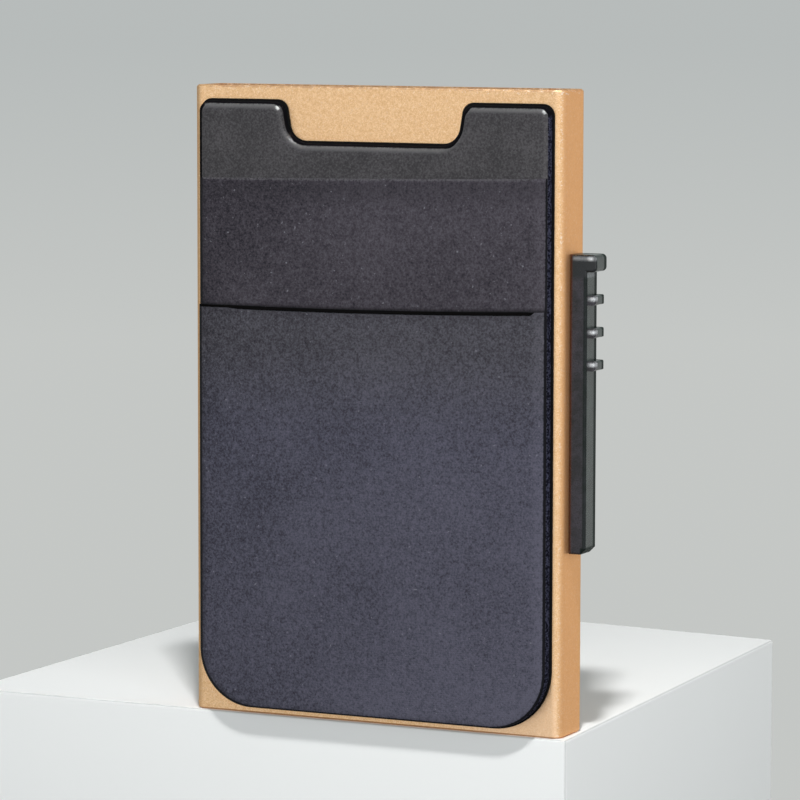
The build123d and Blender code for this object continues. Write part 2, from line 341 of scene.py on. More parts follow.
def finish(name, metallic=0.0, **constants):
    """A new material, its shader and the object's coordinates in millimetres."""
    material = bpy.data.materials.new(name)
    material.use_nodes = True
    shader = material.node_tree.nodes["Principled BSDF"]
    shader.inputs["Metallic"].default_value = metallic
    for key, value in constants.items():
        shader.inputs[key.replace("_", " ")].default_value = value
    coordinates = Flow(material.node_tree.nodes.new("ShaderNodeTexCoord").outputs["Object"])
    place = coordinates.node(
        "ShaderNodeVectorMath", {"operation": "SCALE"}, {0: coordinates, "Scale": 1 / MM}
    )
    return material, shader, place


def axes(place):
    """The three coordinates of a place, as flows."""
    return [place.node("ShaderNodeSeparateXYZ", {}, {0: place}, axis) for axis in range(3)]


def feed(shader, **flows):
    """Links flows to the shader's sockets, whose names are written with _ for a space."""
    for key, flow in flows.items():
        shader.id_data.links.new(flow.socket, shader.inputs[key.replace("_", " ")])


def read(shader, name, output="Fac"):
    """A stored attribute as a flow."""
    attribute = shader.id_data.nodes.new("ShaderNodeAttribute")
    attribute.attribute_name = name
    return Flow(attribute.outputs[output])


def dull(shader, share, colour):
    """Covers that share of a finish with a second one that hardly reflects."""
    nodes, links = shader.id_data.nodes, shader.id_data.links
    settings = {"Roughness": 0.9, "Specular IOR Level": 0.06, "Base Color": colour}
    cover = share.node("ShaderNodeBsdfPrincipled", {}, settings)
    mixed = share.node("ShaderNodeMixShader", {}, {0: share})
    links.new(shader.outputs[0], mixed.socket.node.inputs[1])
    links.new(cover.socket, mixed.socket.node.inputs[2])
    links.new(mixed.socket, nodes["Material Output"].inputs["Surface"])


def dress(material, *pieces):
    """Gives pieces a finish."""
    for piece in pieces:
        piece.data.materials.clear()
        piece.data.materials.append(material)


print("shader helpers ready")

# %% [markdown]
# ## Floor finish
#
# Matt white laminate is not quite even. A very weak cloud in its colour and roughness keeps it
# from looking like a cut-out, and painted shade makes its rounded edges darker.

# %% Finish the floor
floor_white, shader, place = finish("floor_white")
cloud = place.noise(60.0, 3.0)
white = cloud.tint((0.915, 0.925, 0.917, 1), (0.95, 0.96, 0.952, 1))
feed(
    shader,
    # Painted shade: the rounded edges are darker.
    Base_Color=(1.5 * read(shader, "ridge")).tint(white, (0.0, 0.0, 0.0, 1)),
    Roughness=0.5 + 0.15 * cloud,
)
dress(floor_white, floor)
print("floor: matt white with clouds of 60 mm")

# %% [markdown]
# ## Blasted, anodised aluminium
#
# The tube is extruded, blasted with fine beads and dyed a pale copper. Bead blasting leaves
# pits of about 0.1 mm, which scatter light into a fine sparkle: that needs a bump at the size
# of the pits and a roughness that varies from pit to pit. Painted highlights, as bright flecks,
# lie thinly everywhere and gather on the upright front edge and on the mouth. The bottom rim
# has painted shade where the case meets the block, and the mouth's rim is darker in patches.
# The narrow sides are painted redder and less like a mirror, as shade, the far front edge has
# painted shade, and painted light makes the lower corner on the lever's side a little paler.

# %% Copper finish
copper, shader, place = finish(
    "copper_anodised", metallic=0.92, Specular_Tint=(0.93, 0.72, 0.48, 1)
)
across, back, height = axes(place)
pits = place.noise(0.17, 3.0, 0.6)
flecks = place.noise(0.38, 2.0, 0.8)
cloud = place.noise(0.9, 3.0, 0.6)
# Painted highlights: bright flecks, thin everywhere and dense on the upright front edge and on the
# mouth.
upright = across.step(30.9, 31.4) * back.step(-3.8, -4.2)
rim_patches = place.noise(0.8, 2.0, 0.6).step(0.42, 0.58)
# Painted shade on the bottom rim where the case meets the block; the mouth's rim is darker in
# patches.
rims_and_foot_shade = height.step(0.35, 0.15) + rim_patches * height.step(99.6, 99.8)
brim = (1 - rim_patches) * height.step(99.1, 99.5) * (0.3 + 0.5 * across.step(5.0, 30.0))
glint_amount = 0.15 + upright * (0.40 + 0.45 * height.step(45.0, 75.0)) + brim
glint = flecks.step(0.55, 0.65) * glint_amount
# Painted shade: the narrow sides are redder and less like a mirror.
on_sides = across.step(31.1, 31.8) + across.step(-31.3, -31.8)
# Painted shade on the far front edge.
far_edge_shade = across.step(-30.6, -31.5) * back.step(-3.4, -4.3)
# Painted light: the lower corner on the lever's side is paler.
low_corner_light = height.step(14.0, 2.0) * across.band(5.0, 28.0, 31.0, 31.5) * back.step(-4.0, -4.4)
dye = (0.25 * cloud + 0.75 * pits).step(0.28, 0.72)
front_tone = dye.tint((0.705, 0.405, 0.190, 1), (0.940, 0.660, 0.400, 1))
shaded_side_tone = dye.tint((0.800, 0.405, 0.175, 1), (0.900, 0.500, 0.235, 1))
tone = on_sides.tint(front_tone, shaded_side_tone)
tone = (0.45 * far_edge_shade).tint(tone, (0.40, 0.24, 0.14, 1))
tone = (0.5 * low_corner_light).tint(tone, (1.0, 0.69, 0.465, 1))
tone = (0.5 * rims_and_foot_shade).tint(tone, (0.52, 0.26, 0.15, 1))
feed(
    shader,
    Base_Color=glint.tint(tone, (0.98, 0.85, 0.74, 1)),
    Metallic=0.92 - 0.25 * on_sides,
    Roughness=0.36 + 0.18 * pits,
    Normal=pits.bump(0.020),
)
dress(copper, case_nodes["case_tube"])
print("copper: pits of 0.17 mm, flecks of 0.38 mm")

# %% [markdown]
# ## Moulded plastics
#
# The lever is satin black nylon; the inner pieces are the same plastic from a rougher mould.
# Moulded plastic has a faint orange-peel swell under its fine grain. Painted highlights lie on
# the tops of the hook and grips as short bright lines, and a pale one lies under the hook. The
# front and the outer side are painted as shaded and lit copies of one black: the front darker,
# nearly black on the hook and a little paler low down, the outer side paler and greener.
# Painted shade makes the long edges and the lower end dark and hardly reflecting, the edge next
# to the case has a painted reflection of the copper, and the outer part with the grips is a
# little smoother. The highlights stand in a table: the top of each, and where it starts and
# ends along X.

# %% Lever finish
# Painted highlights on the hook and the three grips.
PAINTED_HIGHLIGHTS = (
    (74.8, 32.3, 35.9),
    (68.6, 34.6, 36.2),
    (63.5, 34.6, 36.2),
    (58.5, 34.6, 36.2),
)

lever_black, shader, place = finish("lever_black", Specular_IOR_Level=0.42)
wave = place.noise(1.6, 2.0)
grain = place.noise(0.22, 3.0, 0.7)
across, back, height = axes(place)
# On the grips the front's shaded tone reaches 1.1 mm round onto the outer side.
on_grips = across.step(34.9, 35.1) * height.step(70.5, 70.0)
front_end = -1.98 + 1.1 * on_grips
outer = (back - front_end).step(0.0, 0.16) * back.step(1.70, 1.45)
mottle = (0.5 * wave + 0.5 * grain).step(0.35, 0.65)
front_tone = mottle.tint((0.001, 0.001, 0.002, 1), (0.024, 0.021, 0.029, 1))
# Painted light and shade on the front: a little paler low down, nearly black on the hook.
front_tone = (0.10 * height.step(42.0, 30.0)).tint(front_tone, (0.075, 0.065, 0.088, 1))
front_tone = (0.9 * height.step(70.5, 72.0)).tint(front_tone, (0.001, 0.003, 0.004, 1))
# The outer side is painted as a lit copy of the same black, paler and greener.
lit_outer_tone = mottle.tint((0.004, 0.010, 0.008, 1), (0.018, 0.034, 0.029, 1))
highlights = 0.0
for top, first, last in PAINTED_HIGHLIGHTS:
    highlight_band = height.band(top - 1.0, top - 0.45, top - 0.45, top) * across.step(first, first + 0.5)
    bright_end = across.band(last - 1.3, last - 0.4, last - 0.3, last + 0.1)
    highlights = highlights + 1.4 * highlight_band * (0.28 + 0.72 * bright_end)
highlights = highlights * (back - front_end).step(0.20, -0.07) * (0.6 + 0.8 * (grain - 0.5))
# A painted highlight on the outer side just under the hook.
under_hook_highlight = outer * height.band(71.2, 71.6, 72.0, 72.2) * across.step(35.1, 34.9)
# A painted reflection of the copper on the edge next to the case.
copper_reflection = across.step(32.55, 32.15)
polished = across.step(34.6, 35.4)
tone = outer.tint(front_tone, lit_outer_tone)
tone = (0.35 * under_hook_highlight).tint(tone, (0.40, 0.42, 0.45, 1))
tone = copper_reflection.tint(tone, (0.050, 0.011, 0.006, 1))
feed(
    shader,
    Base_Color=highlights.tint(tone, (0.72, 0.74, 0.76, 1)),
    Roughness=0.22 + 0.12 * grain - 0.06 * polished,
    Normal=(0.6 * wave + 0.4 * grain).bump(0.010),
)
# Painted shade: the long edges and the lower end are dark and hardly reflect.
back_edge_shade = back.step(0.7, 1.1) * across.step(32.6, 33.0)
front_edge_shade = across.band(34.15, 34.4, 34.75, 34.9) * back.step(-1.9, -2.0)
front_edge_shade = front_edge_shade * height.step(72.0, 71.0)
foot_shade = across.step(33.8, 34.1) * height.step(30.0, 29.4)
dark = (0.75 * back_edge_shade).most(0.6 * front_edge_shade).most(0.85 * foot_shade)
dull(shader, dark, (0.004, 0.010, 0.007, 1))
dress(lever_black, case_nodes["thumb_lever"])
print("lever:", len(PAINTED_HIGHLIGHTS), "bright streaks")

# %% Inner plastic finish
inner_black, shader, place = finish("inner_black", Specular_IOR_Level=0.45)
grain = place.noise(0.16, 3.0, 0.65)
scuff = place.stretch(1.0, 1.0, 0.06).noise(0.5, 2.0).step(0.58, 0.72)
mottle = 0.6 * grain + 0.4 * scuff
feed(
    shader,
    Base_Color=mottle.tint((0.012, 0.012, 0.014, 1), (0.045, 0.045, 0.048, 1)),
    Roughness=0.55 + 0.15 * grain - 0.12 * scuff,
    Normal=grain.bump(0.02),
)
inner_names = ("bottom_plug", "side_liner", "card_carrier")
dress(inner_black, *[case_nodes[name] for name in inner_names])
print("inner plastic:", inner_names)

# %% [markdown]
# ## Spring steel and black film
#
# The two small leaves are rolled strip, so their scratches run lengthwise. The film under the
# pouch is black foam tape: its cut edge is the dark line round the pouch, with open pores.

# %% Steel and film finishes
steel, shader, place = finish("rolled_steel", metallic=1.0)
scratch = place.stretch(1.0, 1.0, 0.04).noise(0.05, 2.0, 0.7)
feed(
    shader,
    Base_Color=scratch.tint((0.44, 0.44, 0.45, 1), (0.68, 0.68, 0.69, 1)),
    Roughness=0.22 + 0.2 * scratch,
    Normal=scratch.bump(0.003),
)
dress(steel, case_nodes["card_leaf"], case_nodes["brake_leaf"])

film, shader, place = finish("black_film", Specular_IOR_Level=0.12)
pores = place.noise(0.18, 2.0, 0.6)
feed(
    shader,
    Base_Color=pores.tint((0.001, 0.001, 0.001, 1), (0.005, 0.005, 0.005, 1)),
    Roughness=0.62 + 0.2 * pores,
    Normal=pores.bump(0.02),
)
dress(film, case_nodes["adhesive_film"])
print("steel leaves and film done")

# %% [markdown]
# ## Helpers for soft pieces
#
# Foam and cloth need an even mesh before they can swell or sag. A flat outline is cut into
# small squares with straight cuts and then let go in a short cloth simulation, in which a
# slight inner pressure pushes it out. The simulation works best at the size of a curtain, so
# the piece is enlarged a hundred times while it runs. Each point may only move so far, because
# a thin pouch stays thin. Points are picked by where they are, to a hundredth of a millimetre.

# %% Outline helpers
NEAR = MM / 100


def upright_plane(name, left, right, bottom, top, y):
    """A plane that faces the front, with its place in its mesh."""
    bpy.ops.mesh.primitive_plane_add(
        size=1, location=((left + right) / 2, y, (bottom + top) / 2), rotation=(math.pi / 2, 0, 0)
    )
    piece = bpy.context.object
    piece.name = name
    piece.scale = (right - left, top - bottom, 1)
    settle(piece)
    return piece


def pick(piece, kind, wanted):
    """In edit mode, selects only the points, edges or faces whose middle passes a test."""
    mesh = bmesh.from_edit_mesh(piece.data)
    bpy.ops.mesh.select_mode(type={"verts": "VERT", "edges": "EDGE", "faces": "FACE"}[kind])
    bpy.ops.mesh.select_all(action="DESELECT")
    for part in getattr(mesh, kind):
        if kind == "verts":
            at = part.co
        elif kind == "edges":
            at = (part.verts[0].co + part.verts[1].co) / 2
        else:
            at = part.calc_center_median()
        if wanted(at):
            part.select_set(True)
    bmesh.update_edit_mesh(piece.data)


def round_corners(piece, wanted, radius, steps):
    """Rounds the corners of a flat outline that pass a test."""
    pick(piece, "verts", wanted)
    bpy.ops.mesh.bevel(offset=radius, segments=steps, affect="VERTICES")


def cut_at(piece, axis, places, wanted=lambda at: True):
    """Cuts faces straight across at each place along X (0) or Z (2)."""
    for place in places:
        pick(piece, "faces", wanted)
        point = [0, 0, 0]
        point[axis] = place
        bpy.ops.mesh.bisect(plane_co=point, plane_no=(1, 0, 0) if axis == 0 else (0, 0, 1))


def spread_out(first, last, spacing):
    """Even places between two others, about that far apart, without the two."""
    count = round((last - first) / spacing)
    return [first + (last - first) * cut / count for cut in range(1, count)]


# %% Swelling and thickness helpers
SIZE_UP = 100
LAST_FRAME = 20


def swell(piece, held, pressure, limit):
    """Lets a piece swell a little while some of its points are held."""
    rest = [v.co.copy() for v in piece.data.vertices]
    still = piece.vertex_groups.new(name="held")
    still.add([i for i, co in enumerate(rest) if held(co)], 1.0, "ADD")
    piece.data.transform(Matrix.Scale(SIZE_UP, 4))
    only(piece)
    cloth = piece.modifiers.new("swell", "CLOTH")
    cloth.settings.vertex_group_mass = still.name
    cloth.settings.use_pressure = True
    cloth.settings.uniform_pressure_force = pressure
    cloth.settings.effector_weights.gravity = 0
    cloth.settings.quality = 5
    cloth.point_cache.frame_start, cloth.point_cache.frame_end = 1, LAST_FRAME
    for number in range(1, LAST_FRAME + 1):
        bpy.context.scene.frame_set(number)
    bpy.ops.object.modifier_apply(modifier=cloth.name)
    bpy.context.scene.frame_set(1)
    piece.data.transform(Matrix.Scale(1 / SIZE_UP, 4))
    moves = [v.co - co for v, co in zip(piece.data.vertices, rest)]
    farthest = max(m.length for m in moves)
    for v, co, move in zip(piece.data.vertices, rest, moves):
        v.co = co + move * min(1, limit / max(farthest, 1e-9))
    piece.vertex_groups.clear()
    print(f"{piece.name}: swelled {farthest / MM:.2f} mm, kept {min(farthest, limit) / MM:.2f} mm")


def thicken(piece, thickness):
    """Gives a sheet its thickness, half of it to each side, and smooth shading."""
    thick = piece.modifiers.new("thickness", "SOLIDIFY")
    thick.thickness, thick.offset = thickness, 0
    only(piece)
    bpy.ops.object.modifier_apply(modifier=thick.name)
    bpy.ops.object.shade_smooth_by_angle(angle=math.radians(50))
    print(f"{piece.name}: {len(piece.data.vertices)} points")


# %% [markdown]
# ## Foam board
#
# The pouch is carried by a thin board of dense foam in a smooth coated cloth. Only its top
# band, with the notch for a thumb, and its edge are seen. The edge is rolled, so it draws a
# line of light just inside the black film, which a painted highlight in the finish makes
# stronger. The outline is drawn as by hand: a plane for the body, two tabs extruded from its
# top edge, and corners rounded with a vertex bevel. At the left the cloth is turned over the
# edge and stands out a little, and the tabs end slightly lower than those of the solid that it
# replaces. Its thickness is one extrusion, and the rolled edge a row of narrow insets that
# follow a quarter circle. The front is then cut into squares and swells slightly between its
# edges. Each point stores how far it is from the outline, and how much the edge there faces
# upwards and sideways, which the finish uses.

# %% Outline of the board
NOTCH_FLOOR = 28.4 * MM
NOTCH_TOP = 30.5 * MM
NOTCH_DEPTH = 6.4 * MM
BOARD_INSET = 0.25 * MM
TAB_RADIUS = 1.65 * MM
NOTCH_RADIUS = 3.05 * MM
BOARD_CORNER = 9.45 * MM
TURNED_CLOTH = 0.27 * MM
SET_DOWN = 0.13 * MM

low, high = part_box("pouch_board")
high.z -= SET_DOWN
board_x = (low.x + high.x) / 2
floor_z = high.z - NOTCH_DEPTH
half_floor = NOTCH_FLOOR / 2 + BOARD_INSET
half_top = NOTCH_TOP / 2 + BOARD_INSET

board = upright_plane("foam_board", low.x - TURNED_CLOTH, high.x, low.z, floor_z, high.y)
bpy.ops.object.mode_set(mode="EDIT")
cut_at(board, 0, (board_x - half_floor, board_x + half_floor))
pick(board, "edges", lambda at: at.z > floor_z - NEAR and abs(at.x - board_x) > half_floor)
bpy.ops.mesh.extrude_region_move(TRANSFORM_OT_translate={"value": (0, 0, high.z - floor_z)})
for side in (-1, 1):
    tab_end = Vector((board_x + side * half_floor, high.y, high.z))
    pick(board, "verts", lambda at: (at - tab_end).length < NEAR)
    bpy.ops.transform.translate(value=(side * (half_top - half_floor), 0, 0))
bpy.ops.mesh.select_mode(type="FACE")
bpy.ops.mesh.select_all(action="SELECT")
bpy.ops.mesh.dissolve_faces()
bpy.ops.mesh.select_all(action="SELECT")
bpy.ops.mesh.dissolve_limited(angle_limit=math.radians(1))
round_corners(board, lambda at: at.z > high.z - NEAR, TAB_RADIUS, 8)
round_corners(board, lambda at: abs(at.z - floor_z) < NEAR, NOTCH_RADIUS, 8)
round_corners(board, lambda at: at.z < low.z + NEAR, BOARD_CORNER, 16)
bpy.ops.object.mode_set(mode="OBJECT")
outline = [[board.data.vertices[i].co.copy() for i in edge.vertices] for edge in board.data.edges]
print("board outline edges:", len(outline))

# %% Thickness and rolled edge of the board
ROLL_RADIUS = 1.2 * MM
ROLL_STEPS = 7
FLAT_RING = 0.5 * MM
FLAT_EDGE = 0.45 * MM
BOARD_SQUARE = 1.6 * MM

thickness = high.y - low.y
bpy.ops.object.mode_set(mode="EDIT")
bpy.ops.mesh.select_all(action="SELECT")
bpy.ops.mesh.extrude_region_move(
    TRANSFORM_OT_translate={"value": (0, ROLL_RADIUS - thickness, 0)}
)
for step in range(ROLL_STEPS):
    before, after = [math.pi / 2 * (step + more) / ROLL_STEPS for more in (0, 1)]
    bpy.ops.mesh.inset(
        thickness=ROLL_RADIUS * (math.cos(before) - math.cos(after)),
        depth=ROLL_RADIUS * (math.sin(after) - math.sin(before)),
    )
bpy.ops.mesh.inset(thickness=FLAT_RING)


def front_middle(at):
    """True on the flat front, well inside the rings."""
    across = abs(at.x - board_x)
    if at.y > low.y + NEAR / 10 or across > (high.x - low.x) / 2 - ROLL_RADIUS - FLAT_EDGE:
        return False
    return low.z + ROLL_RADIUS + FLAT_EDGE < at.z < high.z - ROLL_RADIUS - FLAT_EDGE


cut_at(board, 0, spread_out(low.x, high.x, BOARD_SQUARE), front_middle)
cut_at(board, 2, spread_out(low.z, high.z, BOARD_SQUARE), front_middle)
bpy.ops.mesh.select_all(action="SELECT")
bpy.ops.mesh.normals_make_consistent(inside=False)
bpy.ops.object.mode_set(mode="OBJECT")
print("foam board points:", len(board.data.vertices))


# %% Swell of the board
def from_outline(at):
    """How far a point is from the board's outline, and which way the edge there faces."""
    nearest, facing = 1.0, Vector((0, 0, 0))
    for first, last in outline:
        run = last - first
        along = max(0, min(1, (at - first).dot(run) / run.length_squared))
        away = first + run * along - at
        away.y = 0
        if away.length < nearest:
            nearest, facing = away.length, away.normalized()
    return nearest, facing


found = [from_outline(v.co) for v in board.data.vertices]
store(board, "edge", [distance / MM for distance, facing in found])
store(board, "upward", [max(0, facing.z) for distance, facing in found])
store(board, "sideward", [facing.x for distance, facing in found])
swell(board, lambda co: co.y > low.y + NEAR, pressure=3.0, limit=0.15 * MM)
only(board)
bpy.ops.object.shade_smooth_by_angle(angle=math.radians(40))
print("edge distances to", round(max(distance for distance, facing in found) / MM, 1), "mm")

# %% [markdown]
# ## Pocket cloth
#
# Each pocket is a panel of fine stretch knit, joined to the board along its sides and bottom
# and open at the top. A panel starts as a plane. Its lower corners are rounded, it is cut into
# squares, and the top edge is drawn into the shallow curve that elastic cloth takes between
# two joined sides. The joined margin is pressed flat and held while the rest swells, and the
# cloth goes back with the board's rolled edge. Four attributes record where each point was
# before it moved: its place, and how far it was below the mouth, to the side and from the
# joined edge. The hem, the joined margin and the weave are placed by them.

# %% Pocket helper
CORNER = 8.95 * MM
MARGIN = 1.9 * MM
INNER_MARGIN = 1.3 * MARGIN
CLOTH = 0.3 * MM
TRIM_LEFT = 0.15 * MM
TRIM_RIGHT = 0.06 * MM
CLOTH_INSET = 0.5 * MM
CLOTH_SQUARE = 1.2 * MM
EDGE_RINGS = (0.22 * MM, 0.25 * MM)
MOUTH_ROWS = (0.11 * MM, 0.35 * MM, 0.7 * MM, 1.1 * MM)
CURVE_HEIGHT = 20 * MM
LIP_HEIGHT = 0.45 * MM
LIP_OPENS = 2 * MM


def panel(name, node, rise, sag, limit, lip):
    """A cloth panel over a pocket's solid, with a mouth that rises to the right and sags.

    It swells forwards up to limit, and the lip is how far its hem leans back.
    """
    low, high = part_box(node)
    low.x, high.x = low.x + TRIM_LEFT, high.x - TRIM_RIGHT
    middle_x, half = (low.x + high.x) / 2, (high.x - low.x) / 2
    top = high.z - rise

    def from_side(co):
        """How far a point is from the joined sides and bottom."""
        across, up = abs(co.x - middle_x), co.z - low.z
        if across > half - CORNER and up < CORNER:
            return CORNER - math.hypot(across - half + CORNER, CORNER - up)
        return min(half - across, up)

    piece = upright_plane(name, low.x, high.x, low.z, top, high.y - CLOTH / 2)
    bpy.ops.object.mode_set(mode="EDIT")
    round_corners(piece, lambda at: at.z < low.z + NEAR, CORNER, 16)
    pick(piece, "faces", lambda at: True)
    for ring in EDGE_RINGS:
        bpy.ops.mesh.inset(thickness=ring)
    left, right = low.x + INNER_MARGIN, high.x - INNER_MARGIN
    cut_at(piece, 0, (low.x + MARGIN, left, right, high.x - MARGIN))
    cut_at(piece, 2, [top - drop for drop in MOUTH_ROWS])
    cut_at(piece, 0, spread_out(left, right, CLOTH_SQUARE))
    cut_at(piece, 2, spread_out(low.z, top - MOUTH_ROWS[-1], CLOTH_SQUARE))
    bpy.ops.object.mode_set(mode="OBJECT")

    points = piece.data.vertices
    piece.data.attributes.new("cut", "FLOAT_VECTOR", "POINT").data.foreach_set(
        "vector", [c / MM for v in points for c in v.co]
    )
    store(piece, "below", [(top - v.co.z) / MM for v in points])
    store(piece, "beside", [(v.co.x - middle_x) / half for v in points])
    store(piece, "edge", [from_side(v.co) / MM for v in points])
    for v in points:
        across = (v.co.x - middle_x) / half
        share = max(0, (v.co.z - top + CURVE_HEIGHT) / CURVE_HEIGHT)
        v.co.z += share * (rise * (1 + across) / 2 - sag * (1 - across**2))
    swell(piece, lambda co: from_side(co) < MARGIN, pressure=4.0, limit=limit)
    below, edge = [piece.data.attributes[key].data for key in ("below", "edge")]
    for v, drop, away in zip(piece.data.vertices, below, edge):
        opened = min(1, max(0, (away.value * MM - MARGIN) / LIP_OPENS))
        v.co.y += lip * opened * max(0, 1 - drop.value * MM / LIP_HEIGHT) ** 1.5
        rolled = max(0, ROLL_RADIUS - CLOTH_INSET - away.value * MM)
        v.co.y += ROLL_RADIUS - math.sqrt(ROLL_RADIUS**2 - rolled**2)
    thicken(piece, CLOTH)
    return piece


# %% Model the pockets
FRONT_RISE = 0.85
FRONT_SAG = 0.35

rear = panel(
    "rear_pocket_cloth", "rear_pocket", rise=1.15 * MM, sag=0.1 * MM, limit=0.08 * MM, lip=0
)
front = panel(
    "front_pocket_cloth",
    "front_pocket",
    rise=FRONT_RISE * MM,
    sag=FRONT_SAG * MM,
    limit=0.5 * MM,
    lip=0.2 * MM,
)

# %% [markdown]
# ## Felt strips
#
# Two strips of short felt line the mouth, so that the cards slide quietly. Each is a plane with
# rounded corners, cut into squares and given its thickness, a little less than the solid's.

# %% Model the felt strips
FELT_CORNER = 0.5 * MM
FELT_SQUARE = 0.8 * MM
FELT_SHARE = 0.96


def felt(name, node):
    """A strip of felt in the place of a measured one."""
    low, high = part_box(node)
    piece = upright_plane(name, low.x, high.x, low.z, high.z, (low.y + high.y) / 2)
    bpy.ops.object.mode_set(mode="EDIT")
    round_corners(piece, lambda at: True, FELT_CORNER, 4)
    cut_at(piece, 0, spread_out(low.x, high.x, FELT_SQUARE))
    cut_at(piece, 2, spread_out(low.z, high.z, FELT_SQUARE))
    bpy.ops.object.mode_set(mode="OBJECT")
    thicken(piece, (high.y - low.y) * FELT_SHARE)
    return piece


felt_pieces = [felt("felt_strip_front", "felt_front"), felt("felt_strip_back", "felt_back")]

# %% [markdown]
# ## Coated cloth and stretch knit
#
# The board's coated cloth is nearly smooth, with a fine pebble grain. A painted highlight lies
# pale along its top edge, with painted glints at the corner of each tab that is nearer the
# lever. Its rim is pressed and hardly reflects: a dark border about a third of a millimetre
# wide, wider at the left where the cloth is turned over, and a bluish pebble on the side
# towards the lever. The pocket cloth is a close knit with a short nap: loops about 0.4 mm wide
# give it a fine grain, the nap scatters light at a slant, which is what sheen is for, and dust
# and lint stay on it as pale specks. Its joined edge is nearly black. Painted light makes the
# pockets paler towards the right and the bottom, with a painted highlight beside the right
# weld, and painted shade darkens them at the turned-over left edge and below each hem. The
# rear pocket has a painted shadow just above the front pocket's mouth. Each hem is a thin
# ragged line: on the front pocket a black edge with a painted shadow of the open mouth, widest
# where the mouth opens, and on the rear pocket a paler line, a painted highlight.

# %% Coated cloth finish
coated, shader, place = finish("coated_cloth", Specular_IOR_Level=0.42)
edge, upward, sideward = [read(shader, key) for key in ("edge", "upward", "sideward")]
leftward = sideward.step(-0.1, -0.6)
across, back, height = axes(place)
pebble = place.noise(0.34, 3.0, 0.7)
cloud = place.noise(6.0, 3.0)
mottle = (0.75 * pebble + 0.25 * cloud).step(0.34, 0.68)
face = mottle.tint((0.008, 0.007, 0.009, 1), (0.060, 0.056, 0.061, 1))
# A painted highlight along the edges that face up, just inside the dark border.
painted_top_highlight = 0.4 * upward * (edge + 0.5 * (pebble - 0.5)).band(0.30, 0.50, 0.6, 1.3)
face = painted_top_highlight.tint(face, (0.16, 0.16, 0.16, 1))
# Painted glints at the corner of each tab that is nearer the lever.
on_tabs = upward.step(0.45, 0.65) * sideward.step(0.40, 0.60) * height.step(94.6, 95.2)
glint = on_tabs * edge.band(0.35, 0.45, 0.6, 0.9) * (0.8 - 0.4 * across.step(0.0, 10.0))
face = glint.tint(face, (0.62, 0.63, 0.62, 1))
front_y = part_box("pouch_board")[0].y / MM
on_side = back.band(front_y + 0.12, front_y + 0.30, -5.15, -4.95)
on_right = on_side * across.step(22.0, 26.0) * height.step(96.4, 95.6)
side = pebble.step(0.42, 0.66).tint((0.002, 0.002, 0.005, 1), (0.050, 0.052, 0.085, 1))
rim_tone = on_right.tint((0.002, 0.002, 0.003, 1), side)
in_notch = across.band(-18.0, -17.0, -6.0, -5.0) * upward.step(0.9, 0.5) * height.step(88.0, 89.0)
rim_width = 0.34 + 0.50 * leftward - 0.34 * in_notch
rim = (edge + 0.10 * (pebble - 0.5) - rim_width).step(0.04, -0.04)
rim = rim.most(in_notch * back.step(-5.75, -5.55))
feed(
    shader,
    Base_Color=rim.tint(face, rim_tone),
    Roughness=0.32 + 0.16 * pebble + 0.5 * rim,
    Normal=pebble.bump(0.024),
)
dull(shader, rim, rim_tone)
dress(coated, board)
print("coated cloth: pebble of 0.34 mm")

# %% Knit finish
# Black for the joined edge, and for the painted shade at the turned-over left edge.
SEAM_AND_SHADE_BLACK = (0.004, 0.004, 0.006, 1)
SHADOW_BLACK = (0.002, 0.002, 0.003, 1)


def rows(cut, axis, pitch):
    """Soft ridges across one axis of the cut cloth, that many millimetres apart."""
    return cut.node(
        "ShaderNodeTexWave",
        {"bands_direction": axis},
        {"Vector": cut, "Scale": math.pi / (10 * pitch), "Distortion": 2.5, "Detail Scale": 3.0},
        1,
    )


